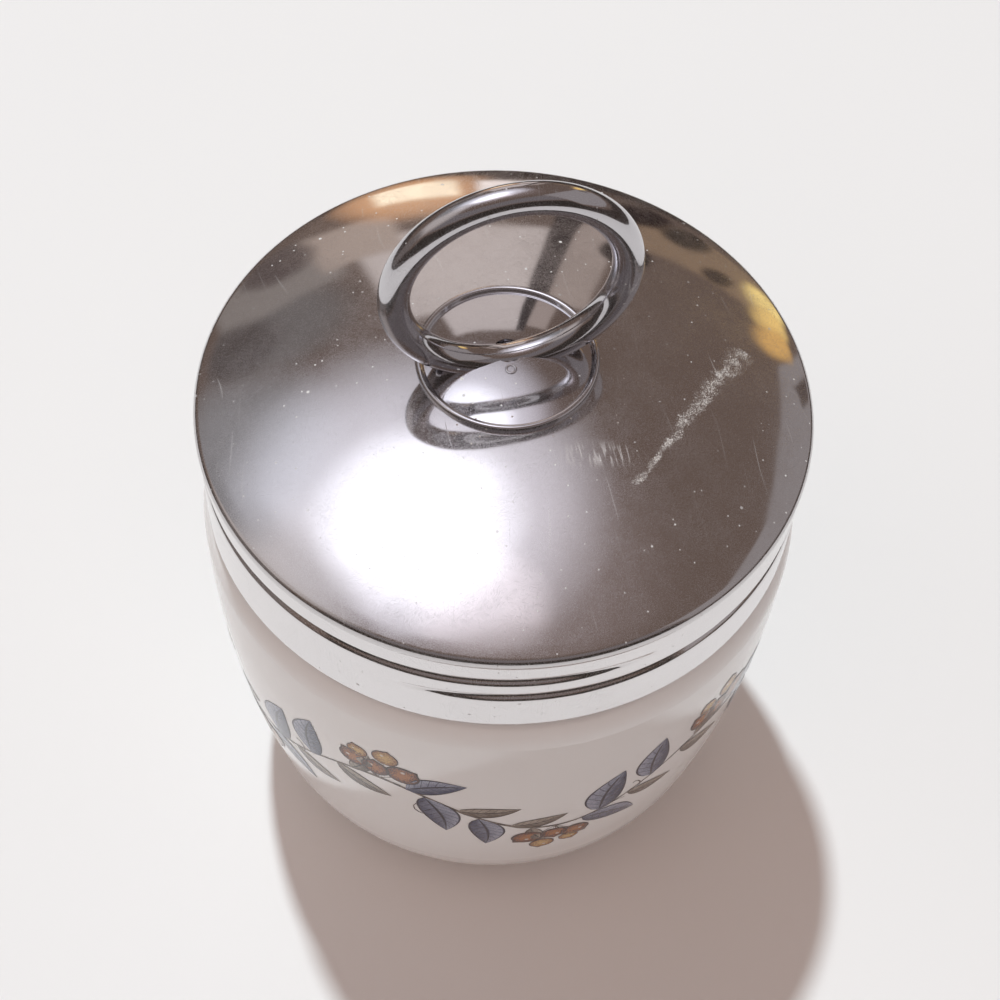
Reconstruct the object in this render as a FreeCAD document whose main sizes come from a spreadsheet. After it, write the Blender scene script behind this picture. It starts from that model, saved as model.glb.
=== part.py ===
import FreeCAD, Part
import math
import os
import Sketcher

# Porcelain egg coddler with a screwed metal lid, in millimetres.
#
# The cup is a turned porcelain pot: foot ring, rounded heel, gently
# swelling side, shoulder drawn in under the lid and a straight neck.
# The lid is one metal pressing, with a shallow dome, a beaded edge and a
# plain skirt. On its crown stands a round-wire lifting ring. The foot of
# the ring lies in a collar with a raised rim and a domed middle, its shank
# passes down through collar and dome, and the end is peened over a burr.
#
# Z is the axis of the pot and the foot stands on Z = 0. The lid's pieces
# are drawn from the plane of the lid's edge and placed at its height.

doc = FreeCAD.newDocument("EggCoddler")
sheet = doc.addObject("Spreadsheet::Sheet", "Dims")

DIMENSIONS = [
    # porcelain cup
    ("belly_radius", 31.3),       # widest radius, under the shoulder
    ("belly_level", 45.9),        # height of the widest radius
    ("side_arc", 163.0),          # radius of the long arc of the side
    ("heel_level", 13.1),         # height where the side turns into the heel
    ("heel_arc", 22.5),           # radius of the heel
    ("foot_step", 0.7),           # foot ring drawn in under the heel
    ("foot_width", 3.4),          # width of the foot's flat
    ("foot_depth", 1.6),          # height of the foot ring
    ("foot_recess", 1.9),         # hollow inside the foot ring
    ("cup_wall", 4.4),            # thickness of the side
    ("floor_thickness", 4.0),     # porcelain over the foot ring
    ("floor_round", 5.0),         # blend between inner heel and floor
    ("shoulder_rise", 4.0),       # from the widest radius up to the ledge
    ("shoulder_inset", 1.3),      # drawn in over that rise
    ("shoulder_round", 0.5),      # rounded edge between shoulder and ledge
    ("thread_room", 1.4),         # between the neck and the skirt, for the thread
    ("neck_wall", 2.3),           # thickness of the neck
    ("neck_round", 0.5),          # cove where the neck meets the shoulder
    ("lip_gap", 0.3),             # between the lip and the dome
    # lid pressing
    ("edge_overhang", 0.25),      # beaded edge outside the skirt
    ("bead_radius", 0.95),        # roundness of the beaded edge
    ("skirt_inset", 0.55),        # skirt inside the belly
    ("skirt_depth", 11.53),       # from the edge down to the hem
    ("skirt_gap", 0.3),           # between the hem and the ledge
    ("lid_sheet", 0.45),          # metal thickness
    ("corner_round", 0.35),       # inside corner of dome and skirt
    ("dome_arc", 80.0),           # spherical radius of the dome
    # collar with a raised rim and a domed middle
    ("collar_radius", 9.05),      # outer radius, on the dome
    ("collar_edge", 0.35),        # upright outer edge
    ("collar_height", 0.88),      # crest above the bottom of that edge
    ("crest_radius", 8.65),       # radius at the crest
    ("crest_round", 0.25),        # roundness of the crest
    ("dish_radius", 7.05),        # lowest line inside the crest
    ("dish_depth", 0.4),          # that line below the crest
    ("boss_rise", 0.9),           # middle of the collar above that line
    ("collar_seat", 0.02),        # between the collar and the dome
    # lifting ring
    ("ring_radius", 11.2),        # centre line of the wire
    ("wire_radius", 1.54),        # half the wire's thickness
    ("foot_web", 1.18),           # wire left over the ring's flat foot
    ("saddle_fit", 0.06),         # between the wire and the collar
    ("foot_seat", 0.04),          # between the ring's foot and the dome
    ("shank_step", 0.14),         # shank slimmer than the wire, each side
    ("shank_root", 0.1),          # shank carried up inside the wire
    ("shank_fit", 0.05),          # between the shank and its holes
    # burr and peened end
    ("burr_radius", 4.6),         # outside of the burr
    ("burr_thickness", 0.8),      # thickness of the burr
    ("burr_seat", 0.02),          # between the burr and the dome
    ("burr_round", 0.2),          # its rounded rim
    ("peen_radius", 2.7),         # spread of the peened end
    ("peen_height", 1.0),         # height of the peened end
    ("peen_seat", 0.02),          # between the peened end and the burr
]
for row, (alias, size) in enumerate(DIMENSIONS, start=1):
    sheet.set("A%d" % row, alias)
    sheet.set("B%d" % row, str(size))
    sheet.setAlias("B%d" % row, alias)
doc.recompute()

# Levels and radii that several pieces share, as expressions on the sheet.
SHOULDER_LEVEL = "(Dims.belly_level + Dims.shoulder_rise)"
SHOULDER_RADIUS = "(Dims.belly_radius - Dims.shoulder_inset)"
EDGE_LEVEL = "(%s + Dims.skirt_gap + Dims.skirt_depth)" % SHOULDER_LEVEL
SKIRT_RADIUS = "(Dims.belly_radius - Dims.skirt_inset)"
SKIRT_INSIDE = "(%s - Dims.lid_sheet)" % SKIRT_RADIUS
BEAD_CENTRE = "(%s + Dims.edge_overhang - Dims.bead_radius)" % SKIRT_RADIUS
DOME_DROP = "sqrt((Dims.dome_arc - Dims.bead_radius)^2 - %s^2)" % BEAD_CENTRE
NECK_RADIUS = "(%s - Dims.thread_room)" % SKIRT_INSIDE
MOUTH_RADIUS = "(%s - Dims.neck_wall)" % NECK_RADIUS
SHANK_RADIUS = "(Dims.wire_radius - Dims.shank_step)"
SHANK_HOLE = "(%s + Dims.shank_fit)" % SHANK_RADIUS


def sphere_level(radius, grown="0"):
    """Height of the dome, grown outward by a thickness, at a radius."""
    return "(sqrt((Dims.dome_arc + %s)^2 - (%s)^2) - %s)" % (grown, radius, DOME_DROP)


DOME_CROWN = sphere_level("0")
UNDER_DOME = "(%s - Dims.burr_seat)" % sphere_level("Dims.burr_radius", "-Dims.lid_sheet")
UNDER_BURR = "(%s - Dims.burr_thickness - Dims.peen_seat)" % UNDER_DOME
COLLAR_BASE = sphere_level("Dims.collar_radius", "Dims.collar_seat")
CREST_LEVEL = "(%s + Dims.collar_height)" % COLLAR_BASE
RING_FOOT = "(%s + Dims.foot_seat)" % DOME_CROWN
RING_LOW = "(%s + Dims.foot_web - 2 * Dims.wire_radius)" % RING_FOOT
RING_OUT = "(Dims.ring_radius + Dims.wire_radius)"
RING_LEVEL = "(%s + %s)" % (RING_LOW, RING_OUT)


def size(expression):
    """The present value of an expression on the sheet."""
    return float(sheet.evalExpression(expression))


def new_body(name, level=None):
    """A body of its own name, raised to a level that follows the sheet."""
    body = doc.addObject("PartDesign::Body", name)
    body.Label = name
    if level:
        body.setExpression("Placement.Base.z", level)
    return body


def new_sketch(body, name, plane="XZ_Plane"):
    """A sketch on one of the body's own origin planes."""
    sketch = body.newObject("Sketcher::SketchObject", name)
    planes = [face for face in body.Origin.OriginFeatures if face.Role == plane]
    sketch.AttachmentSupport = [(planes[0], "")]
    sketch.MapMode = "FlatFace"
    return sketch


def bind(sketch, name, expression, kind, *where):
    """A named dimension of the sketch that follows an expression."""
    number = sketch.addConstraint(Sketcher.Constraint(kind, *where, size(expression)))
    sketch.renameConstraint(number, name)
    sketch.setExpression("Constraints." + name, expression)


def line(sketch, start, end):
    points = [FreeCAD.Vector(x, y, 0) for x, y in (start, end)]
    return sketch.addGeometry(Part.LineSegment(*points), False)


def arc(sketch, centre, radius, first, last):
    """An arc that runs anticlockwise between two angles in degrees."""
    circle = Part.Circle(FreeCAD.Vector(*centre, 0), FreeCAD.Vector(0, 0, 1), radius)
    bounds = [math.radians(angle) for angle in (first, last)]
    return sketch.addGeometry(Part.ArcOfCircle(circle, *bounds), False)


def join(sketch, *pairs):
    """Joins ends given as (edge, end, edge, end); end 1 starts, end 2 ends."""
    for pair in pairs:
        sketch.addConstraint(Sketcher.Constraint("Coincident", *pair))


def blend(sketch, *pairs):
    """Joins ends like join, with both edges tangent there."""
    for pair in pairs:
        sketch.addConstraint(Sketcher.Constraint("Tangent", *pair))


def straighten(sketch, kind, *edges):
    for edge in edges:
        sketch.addConstraint(Sketcher.Constraint(kind, edge))


def revolve(body, sketch, name, feature="PartDesign::Revolution", axis="V_Axis"):
    """Turns a sketch once round one of its axes."""
    turned = body.newObject(feature, name)
    turned.Profile = sketch
    turned.ReferenceAxis = (sketch, [axis])
    turned.Angle = 360
    doc.recompute()
    return turned


def round_edges(body, name, radius, found):
    """Rounds the edges of the body's tip that a test picks out."""
    base = body.Tip
    edges = enumerate(base.Shape.Edges, start=1)
    names = ["Edge%d" % number for number, edge in edges if found(edge)]
    fillet = body.newObject("PartDesign::Fillet", name)
    fillet.Base = (base, names)
    fillet.Radius = size(radius)
    fillet.setExpression("Radius", radius)
    doc.recompute()


def ring_edge(level, radius=None):
    """A test for the full circles of a turned piece at a level."""
    def found(edge):
        if not isinstance(edge.Curve, Part.Circle):
            return False
        if radius and abs(edge.Curve.Radius - size(radius)) > 0.01:
            return False
        return abs(edge.Curve.Center.z - size(level)) < 0.01
    return found


def touch_angle(centre, radius, point, way):
    """Where on a circle a line from an outside point touches it, in degrees."""
    across, up = point[0] - centre[0], point[1] - centre[1]
    swing = math.acos(radius / math.hypot(across, up))
    return math.degrees(math.atan2(up, across) + way * swing) % 360


# Porcelain cup: one turned profile, from the foot out, up and back inside.
cup = new_body("porcelain_cup")
profile = new_sketch(cup, "CupProfile")
FLOOR_LEVEL = "(Dims.foot_depth + Dims.floor_thickness)"
LIP_CENTRE = "(%s - Dims.neck_wall / 2)" % NECK_RADIUS
LIP_LEVEL = "(%s + %s - Dims.lip_gap - Dims.neck_wall / 2)" % (
    EDGE_LEVEL, sphere_level(LIP_CENTRE, "-Dims.lid_sheet"))
TURN = "((Dims.belly_level - Dims.heel_level) / Dims.side_arc)"
HEEL_CENTRE_X = ("(Dims.belly_radius - Dims.side_arc"
                 " + (Dims.side_arc - Dims.heel_arc) * sqrt(1 - %s^2))" % TURN)
HEEL_CENTRE_Z = "(Dims.belly_level - (Dims.side_arc - Dims.heel_arc) * %s)" % TURN
HEEL_FOOT = "(%s + sqrt(Dims.heel_arc^2 - (%s - Dims.foot_depth)^2))" % (
    HEEL_CENTRE_X, HEEL_CENTRE_Z)
FOOT_RADIUS = "(%s - Dims.foot_step)" % HEEL_FOOT
FOOT_INSIDE = "(%s - Dims.foot_width)" % FOOT_RADIUS
INNER_TURN = ("(Dims.belly_level - (Dims.side_arc - Dims.cup_wall)"
              " * (Dims.belly_level - Dims.heel_level) / Dims.side_arc)")

belly = size("Dims.belly_radius")
belly_z = size("Dims.belly_level")
side = size("Dims.side_arc")
heel = size("Dims.heel_arc")
wall = size("Dims.cup_wall")
side_x = belly - side
turn = math.degrees(math.asin((belly_z - size("Dims.heel_level")) / side))
heel_x, heel_z = size(HEEL_CENTRE_X), size(HEEL_CENTRE_Z)
foot_angle = math.degrees(math.asin((heel_z - size("Dims.foot_depth")) / heel))
floor_angle = math.degrees(math.asin((heel_z - size(FLOOR_LEVEL)) / (heel - wall)))
heel_foot_x = size(HEEL_FOOT)
inner_foot_x = heel_x + (heel - wall) * math.cos(math.radians(floor_angle))
shoulder_z = size(SHOULDER_LEVEL)
shoulder_x = size(SHOULDER_RADIUS)
rise, inset = size("Dims.shoulder_rise"), size("Dims.shoulder_inset")
shoulder = (rise ** 2 + inset ** 2) / (2 * inset)
shoulder_turn = math.degrees(math.asin(rise / shoulder))
neck = size(NECK_RADIUS)
mouth = size(MOUTH_RADIUS)
lip_z = size(LIP_LEVEL)
foot_in, foot_out = size(FOOT_INSIDE), size(FOOT_RADIUS)
recess = size("Dims.foot_recess")
floor_z = size(FLOOR_LEVEL)

under = line(profile, (0, recess), (foot_in, recess))
recess_wall = line(profile, (foot_in, recess), (foot_in, 0))
foot_flat = line(profile, (foot_in, 0), (foot_out, 0))
foot_side = line(profile, (foot_out, 0), (heel_foot_x, size("Dims.foot_depth")))
heel_curve = arc(profile, (heel_x, heel_z), heel, -foot_angle, -turn)
side_curve = arc(profile, (side_x, belly_z), side, -turn, 0)
shoulder_curve = arc(profile, (belly - shoulder, belly_z), shoulder, 0, shoulder_turn)
ledge = line(profile, (shoulder_x, shoulder_z), (neck, shoulder_z))
neck_side = line(profile, (neck, shoulder_z), (neck, lip_z))
lip_curve = arc(profile, ((neck + mouth) / 2, lip_z), (neck - mouth) / 2, 0, 180)
mouth_side = line(profile, (mouth, lip_z), (mouth, shoulder_z))
throat = line(profile, (mouth, shoulder_z), (belly - wall, belly_z))
inner_side = arc(profile, (side_x, belly_z), side - wall, -turn, 0)
inner_heel = arc(profile, (heel_x, heel_z), heel - wall, -floor_angle, -turn)
floor = line(profile, (inner_foot_x, floor_z), (0, floor_z))
axis_line = line(profile, (0, floor_z), (0, recess))

join(profile,
     (under, 2, recess_wall, 1), (recess_wall, 2, foot_flat, 1),
     (foot_flat, 2, foot_side, 1), (foot_side, 2, heel_curve, 1),
     (shoulder_curve, 2, ledge, 1), (ledge, 2, neck_side, 1),
     (mouth_side, 2, throat, 1),
     (throat, 2, inner_side, 2), (inner_heel, 1, floor, 1),
     (floor, 2, axis_line, 1), (axis_line, 2, under, 1))
blend(profile,
      (heel_curve, 2, side_curve, 1), (side_curve, 2, shoulder_curve, 1),
      (neck_side, 2, lip_curve, 1),
      (lip_curve, 2, mouth_side, 1), (inner_heel, 2, inner_side, 1))
straighten(profile, "Horizontal", under, foot_flat, ledge, floor)
straighten(profile, "Vertical", recess_wall, neck_side, mouth_side, axis_line)
profile.addConstraint(Sketcher.Constraint("PointOnObject", under, 1, -2))
profile.addConstraint(Sketcher.Constraint("PointOnObject", foot_flat, 1, -1))
bind(profile, "recess", "Dims.foot_recess", "DistanceY", under, 1)
bind(profile, "foot_in", FOOT_INSIDE, "DistanceX", recess_wall, 2)
bind(profile, "foot_out", FOOT_RADIUS, "DistanceX", foot_flat, 2)
bind(profile, "foot_top", "Dims.foot_depth", "DistanceY", heel_curve, 1)
bind(profile, "heel", "Dims.heel_arc", "Radius", heel_curve)
bind(profile, "heel_turn", "Dims.heel_level", "DistanceY", heel_curve, 2)
bind(profile, "side", "Dims.side_arc", "Radius", side_curve)
bind(profile, "side_centre", "Dims.belly_level", "DistanceY", side_curve, 3)
bind(profile, "belly_x", "Dims.belly_radius", "DistanceX", side_curve, 2)
bind(profile, "belly_z", "Dims.belly_level", "DistanceY", side_curve, 2)
bind(profile, "shoulder_x", SHOULDER_RADIUS, "DistanceX", shoulder_curve, 2)
bind(profile, "shoulder_z", SHOULDER_LEVEL, "DistanceY", shoulder_curve, 2)
bind(profile, "neck", NECK_RADIUS, "DistanceX", neck_side, 2)
bind(profile, "lip", LIP_LEVEL, "DistanceY", neck_side, 2)
bind(profile, "mouth", MOUTH_RADIUS, "DistanceX", mouth_side, 1)
bind(profile, "throat_top", SHOULDER_LEVEL, "DistanceY", throat, 1)
bind(profile, "inner_belly_x", "Dims.belly_radius - Dims.cup_wall",
     "DistanceX", inner_side, 2)
bind(profile, "inner_belly_z", "Dims.belly_level", "DistanceY", inner_side, 2)
bind(profile, "inner_centre", "Dims.belly_level", "DistanceY", inner_side, 3)
bind(profile, "inner_radius", "Dims.side_arc - Dims.cup_wall", "Radius", inner_side)
bind(profile, "inner_turn", INNER_TURN, "DistanceY", inner_side, 1)
bind(profile, "inner_heel", "Dims.heel_arc - Dims.cup_wall", "Radius", inner_heel)
bind(profile, "floor", FLOOR_LEVEL, "DistanceY", inner_heel, 1)
revolve(cup, profile, "CupTurned")
round_edges(cup, "FloorBlend", "Dims.floor_round", ring_edge(FLOOR_LEVEL))
round_edges(cup, "ShoulderRound", "Dims.shoulder_round",
            ring_edge(SHOULDER_LEVEL, SHOULDER_RADIUS))
round_edges(cup, "NeckCove", "Dims.neck_round", ring_edge(SHOULDER_LEVEL, NECK_RADIUS))

# Lid shell: dome, beaded edge and skirt, turned from one sheet.
shell = new_body("lid_shell", EDGE_LEVEL)
pressing = new_sketch(shell, "ShellProfile")
dome = size("Dims.dome_arc")
drop = size(DOME_DROP)
metal = size("Dims.lid_sheet")
bead = size("Dims.bead_radius")
bead_x = size(BEAD_CENTRE)
skirt = size(SKIRT_RADIUS)
hole = size(SHANK_HOLE)
hem_z = metal / 2 - size("Dims.skirt_depth")
bead_top = math.degrees(math.atan2(drop, bead_x))
bead_end = math.degrees(math.acos((skirt - bead_x) / bead))
inner_angle = math.degrees(math.acos((skirt - metal) / (dome - metal)))
hole_angle = math.degrees(math.acos(hole / dome))
hole_inner = math.degrees(math.acos(hole / (dome - metal)))
CORNER_LEVEL = sphere_level(SKIRT_INSIDE, "-Dims.lid_sheet")
corner_z = size(CORNER_LEVEL)

dome_top = arc(pressing, (0, -drop), dome, bead_top, hole_angle)
bead_curve = arc(pressing, (bead_x, 0), bead, -bead_end, bead_top)
skirt_out = line(pressing, (skirt, -bead * math.sin(math.radians(bead_end))),
                 (skirt, hem_z))
hem = arc(pressing, (skirt - metal / 2, hem_z), metal / 2, 180, 360)
skirt_in = line(pressing, (skirt - metal, hem_z), (skirt - metal, corner_z))
dome_under = arc(pressing, (0, -drop), dome - metal, inner_angle, hole_inner)
hole_side = line(pressing, (hole, size(sphere_level(SHANK_HOLE, "-Dims.lid_sheet"))),
                 (hole, size(sphere_level(SHANK_HOLE))))
join(pressing,
     (bead_curve, 1, skirt_out, 1), (skirt_in, 2, dome_under, 1),
     (dome_under, 2, hole_side, 1), (hole_side, 2, dome_top, 2))
blend(pressing,
      (dome_top, 1, bead_curve, 2), (skirt_out, 2, hem, 2), (hem, 1, skirt_in, 1))
straighten(pressing, "Vertical", skirt_out, skirt_in, hole_side)
pressing.addConstraint(Sketcher.Constraint("PointOnObject", dome_top, 3, -2))
pressing.addConstraint(Sketcher.Constraint("Coincident", dome_under, 3, dome_top, 3))
pressing.addConstraint(Sketcher.Constraint("PointOnObject", bead_curve, 3, -1))
bind(pressing, "dome", "Dims.dome_arc", "Radius", dome_top)
bind(pressing, "under", "Dims.dome_arc - Dims.lid_sheet", "Radius", dome_under)
bind(pressing, "bead", "Dims.bead_radius", "Radius", bead_curve)
bind(pressing, "bead_x", BEAD_CENTRE, "DistanceX", bead_curve, 3)
bind(pressing, "skirt", SKIRT_RADIUS, "DistanceX", skirt_out, 2)
bind(pressing, "skirt_in", SKIRT_INSIDE, "DistanceX", skirt_in, 1)
bind(pressing, "hem", "Dims.lid_sheet / 2 - Dims.skirt_depth", "DistanceY", hem, 3)
bind(pressing, "hole", SHANK_HOLE, "DistanceX", hole_side, 1)
revolve(shell, pressing, "ShellTurned")
round_edges(shell, "InnerCorner", "Dims.corner_round",
            ring_edge(CORNER_LEVEL, SKIRT_INSIDE))

# Collar: a turned washer on the crown, cut through for the ring.
collar = new_body("ring_collar", EDGE_LEVEL)
section = new_sketch(collar, "CollarProfile")
rim = size("Dims.collar_radius")
base_z = size(COLLAR_BASE)
edge_z = base_z + size("Dims.collar_edge")
crest_r = size("Dims.crest_round")
crest_x = size("Dims.crest_radius")
crest_z = size(CREST_LEVEL)
dish_x = size("Dims.dish_radius")
dish_z = crest_z - size("Dims.dish_depth")
BOSS_ARC = "((Dims.dish_radius^2 + Dims.boss_rise^2) / 2 / Dims.boss_rise)"
boss_arc = size(BOSS_ARC)
boss_mid = dish_z + size("Dims.boss_rise") - boss_arc
boss_ends = [math.degrees(math.acos(radius / boss_arc)) for radius in (dish_x, hole)]
seat_arc = dome + size("Dims.collar_seat")
seat_ends = [math.degrees(math.acos(radius / seat_arc)) for radius in (rim, hole)]
seat_top = size(sphere_level(SHANK_HOLE, "Dims.collar_seat"))

seat = arc(section, (0, -drop), seat_arc, *seat_ends)
edge_side = line(section, (rim, base_z), (rim, edge_z))
flank = line(section, (rim, edge_z), (crest_x + crest_r, crest_z - crest_r))
crest_mid = (crest_x, crest_z - crest_r)
crest = arc(section, crest_mid, crest_r, touch_angle(crest_mid, crest_r, (rim, edge_z), 1),
            touch_angle(crest_mid, crest_r, (dish_x, dish_z), -1))
dish_side = line(section, (crest_x, crest_z), (dish_x, dish_z))
boss = arc(section, (0, boss_mid), boss_arc, *boss_ends)
bore_side = line(section, (hole, dish_z), (hole, seat_top))
join(section,
     (seat, 1, edge_side, 1), (edge_side, 2, flank, 1), (dish_side, 2, boss, 1),
     (boss, 2, bore_side, 1), (bore_side, 2, seat, 2))
blend(section, (flank, 2, crest, 1), (crest, 2, dish_side, 1))
straighten(section, "Vertical", edge_side, bore_side)
section.addConstraint(Sketcher.Constraint("PointOnObject", seat, 3, -2))
section.addConstraint(Sketcher.Constraint("PointOnObject", boss, 3, -2))
bind(section, "seat", "Dims.dome_arc + Dims.collar_seat", "Radius", seat)
bind(section, "rim", "Dims.collar_radius", "DistanceX", edge_side, 1)
bind(section, "base", COLLAR_BASE, "DistanceY", edge_side, 1)
bind(section, "edge", COLLAR_BASE + " + Dims.collar_edge", "DistanceY", edge_side, 2)
bind(section, "crest", "Dims.crest_round", "Radius", crest)
bind(section, "crest_x", "Dims.crest_radius", "DistanceX", crest, 3)
bind(section, "crest_z", CREST_LEVEL + " - Dims.crest_round", "DistanceY", crest, 3)
bind(section, "dish_x", "Dims.dish_radius", "DistanceX", dish_side, 2)
bind(section, "dish_z", CREST_LEVEL + " - Dims.dish_depth", "DistanceY", dish_side, 2)
bind(section, "boss", BOSS_ARC, "Radius", boss)
bind(section, "bore", SHANK_HOLE, "DistanceX", bore_side, 2)
revolve(collar, section, "CollarTurned")


def wire_section(body, name, radius):
    """The wire's round section, on a sketch centred on the ring."""
    sketch = new_sketch(body, name, "YZ_Plane")
    sketch.setExpression("AttachmentOffset.Base.y", RING_LEVEL)
    centre = FreeCAD.Vector(0, -size("Dims.ring_radius"), 0)
    circle = Part.Circle(centre, FreeCAD.Vector(0, 0, 1), size(radius))
    wire = sketch.addGeometry(circle, False)
    sketch.addConstraint(Sketcher.Constraint("PointOnObject", wire, 3, -2))
    bind(sketch, "wire", radius, "Radius", wire)
    bind(sketch, "ring", "-Dims.ring_radius", "DistanceY", wire, 3)
    return sketch


saddle = wire_section(collar, "SaddleSection", "Dims.wire_radius + Dims.saddle_fit")
uncut = collar.Tip.Shape.Volume
revolve(collar, saddle, "RingSaddle", "PartDesign::Groove", "H_Axis")
if collar.Tip.Shape.Volume > uncut - 1:
    raise RuntimeError("the ring's saddle cuts nothing")

# Lifting ring: round wire, flat under the foot, with a shank and a peened end.
ring = new_body("lifting_ring", EDGE_LEVEL)
WIRE_RADIUS = "Dims.wire_radius"
revolve(ring, wire_section(ring, "WireSection", WIRE_RADIUS), "RingTurned", axis="H_Axis")

trim = new_sketch(ring, "FootTrim")
foot_z = size(RING_FOOT)
ring_low = size(RING_LOW)
ring_out = size(RING_OUT)
corners = [(0, ring_low), (ring_out, ring_low), (ring_out, foot_z), (0, foot_z)]
trim_low, trim_out, trim_foot, trim_axis = [
    line(trim, start, end) for start, end in zip(corners, corners[1:] + corners[:1])]
join(trim,
     (trim_low, 2, trim_out, 1), (trim_out, 2, trim_foot, 1),
     (trim_foot, 2, trim_axis, 1), (trim_axis, 2, trim_low, 1))
straighten(trim, "Horizontal", trim_low, trim_foot)
straighten(trim, "Vertical", trim_out)
trim.addConstraint(Sketcher.Constraint("PointOnObject", trim_axis, 1, -2))
trim.addConstraint(Sketcher.Constraint("PointOnObject", trim_axis, 2, -2))
bind(trim, "low", RING_LOW, "DistanceY", trim_low, 2)
bind(trim, "out", RING_OUT, "DistanceX", trim_low, 2)
bind(trim, "foot", RING_FOOT, "DistanceY", trim_foot, 1)
untrimmed = ring.Tip.Shape.Volume
revolve(ring, trim, "FlatFoot", "PartDesign::Groove")
if ring.Tip.Shape.Volume > untrimmed - 1:
    raise RuntimeError("the ring's foot is not trimmed")

stem = new_sketch(ring, "ShankProfile")
shank = size(SHANK_RADIUS)
shank_top = foot_z + size("Dims.shank_root")
peen_top = size(UNDER_BURR)
peen_x = size("Dims.peen_radius")
peen_z = peen_top - size("Dims.peen_height")
peen_arc = (peen_x ** 2 + (peen_top - peen_z) ** 2) / 2 / (peen_top - peen_z)
peen_angle = math.degrees(math.asin(peen_x / peen_arc))
stem_top = line(stem, (0, shank_top), (shank, shank_top))
stem_side = line(stem, (shank, shank_top), (shank, peen_top))
peen_face = line(stem, (shank, peen_top), (peen_x, peen_top))
peen_curve = arc(stem, (0, peen_z + peen_arc), peen_arc, 270, 270 + peen_angle)
stem_axis = line(stem, (0, peen_z), (0, shank_top))
join(stem,
     (stem_top, 2, stem_side, 1), (stem_side, 2, peen_face, 1),
     (peen_face, 2, peen_curve, 2), (peen_curve, 1, stem_axis, 1),
     (stem_axis, 2, stem_top, 1))
straighten(stem, "Horizontal", stem_top, peen_face)
straighten(stem, "Vertical", stem_side, stem_axis)
stem.addConstraint(Sketcher.Constraint("PointOnObject", stem_axis, 1, -2))
stem.addConstraint(Sketcher.Constraint("PointOnObject", peen_curve, 3, -2))
bind(stem, "top", RING_FOOT + " + Dims.shank_root", "DistanceY", stem_top, 2)
bind(stem, "shank", SHANK_RADIUS, "DistanceX", stem_top, 2)
bind(stem, "peen_top", UNDER_BURR, "DistanceY", peen_face, 1)
bind(stem, "peen_x", "Dims.peen_radius", "DistanceX", peen_face, 2)
bind(stem, "peen_low", UNDER_BURR + " - Dims.peen_height", "DistanceY", peen_curve, 1)
revolve(ring, stem, "Shank")

# Burr: the washer under the dome that the shank is peened over.
burr = new_body("shank_burr", EDGE_LEVEL)
washer = new_sketch(burr, "BurrProfile")
burr_top = size(UNDER_DOME)
burr_low = burr_top - size("Dims.burr_thickness")
burr_x = size("Dims.burr_radius")
corners = [(hole, burr_low), (burr_x, burr_low), (burr_x, burr_top), (hole, burr_top)]
burr_under, burr_rim, burr_face, burr_bore = [
    line(washer, start, end) for start, end in zip(corners, corners[1:] + corners[:1])]
join(washer,
     (burr_under, 2, burr_rim, 1), (burr_rim, 2, burr_face, 1),
     (burr_face, 2, burr_bore, 1), (burr_bore, 2, burr_under, 1))
straighten(washer, "Horizontal", burr_under, burr_face)
straighten(washer, "Vertical", burr_rim, burr_bore)
bind(washer, "bore", SHANK_HOLE, "DistanceX", burr_bore, 1)
bind(washer, "rim", "Dims.burr_radius", "DistanceX", burr_rim, 1)
bind(washer, "top", UNDER_DOME, "DistanceY", burr_rim, 2)
bind(washer, "low", UNDER_DOME + " - Dims.burr_thickness", "DistanceY", burr_rim, 1)
revolve(burr, washer, "BurrTurned")
BURR_LOW = UNDER_DOME + " - Dims.burr_thickness"
round_edges(burr, "BurrRim", "Dims.burr_round", ring_edge(BURR_LOW, "Dims.burr_radius"))

doc.recompute()
for item in doc.Objects:
    if "Invalid" in item.State or "Error" in item.State:
        raise RuntimeError("%s: %s" % (item.Name, item.getStatusString()))
pieces = [cup, shell, collar, ring, burr]
for piece in pieces:
    if piece.Shape.isNull() or not piece.Shape.isValid():
        raise RuntimeError("%s has no valid shape" % piece.Label)
    if len(piece.Shape.Solids) != 1:
        raise RuntimeError("%s is not one solid" % piece.Label)
os.makedirs("parts", exist_ok=True)
for piece in pieces:
    piece.Shape.exportStep("parts/%s.step" % piece.Label)
    print("%-14s %8.1f mm3" % (piece.Label, piece.Shape.Volume))
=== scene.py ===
# %% [markdown]
# # Dressing a porcelain egg coddler
#
# The pot is turned porcelain, the lid is pressed and plated metal, and a wire
# ring stands on top. The solids are already made in CAD and arrive here as a
# fixed frame. This lesson gives them their looks: a lid with its rolled
# thread, a thread on the neck, a printed transfer on the glaze, and finishes
# that are built from nodes. Lengths are written in millimetres, as a maker
# would say them, and turned into Blender's metres with MM.

# %% Load the fixed frame
import math

import bpy
import numpy as np
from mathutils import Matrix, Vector


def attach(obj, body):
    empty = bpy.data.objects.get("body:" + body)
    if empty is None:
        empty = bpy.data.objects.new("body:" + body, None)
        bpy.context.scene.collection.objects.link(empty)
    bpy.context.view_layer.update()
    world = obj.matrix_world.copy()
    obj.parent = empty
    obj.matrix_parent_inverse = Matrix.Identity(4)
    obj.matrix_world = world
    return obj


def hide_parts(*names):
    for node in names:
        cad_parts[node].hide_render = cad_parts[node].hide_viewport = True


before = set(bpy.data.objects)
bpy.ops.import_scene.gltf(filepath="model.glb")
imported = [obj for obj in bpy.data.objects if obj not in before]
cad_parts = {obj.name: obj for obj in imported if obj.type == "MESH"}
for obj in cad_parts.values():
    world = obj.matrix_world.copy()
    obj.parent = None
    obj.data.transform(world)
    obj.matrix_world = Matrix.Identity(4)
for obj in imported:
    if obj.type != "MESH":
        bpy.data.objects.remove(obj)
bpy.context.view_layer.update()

MM = 0.001
print("nodes:", ", ".join(sorted(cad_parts)))

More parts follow.
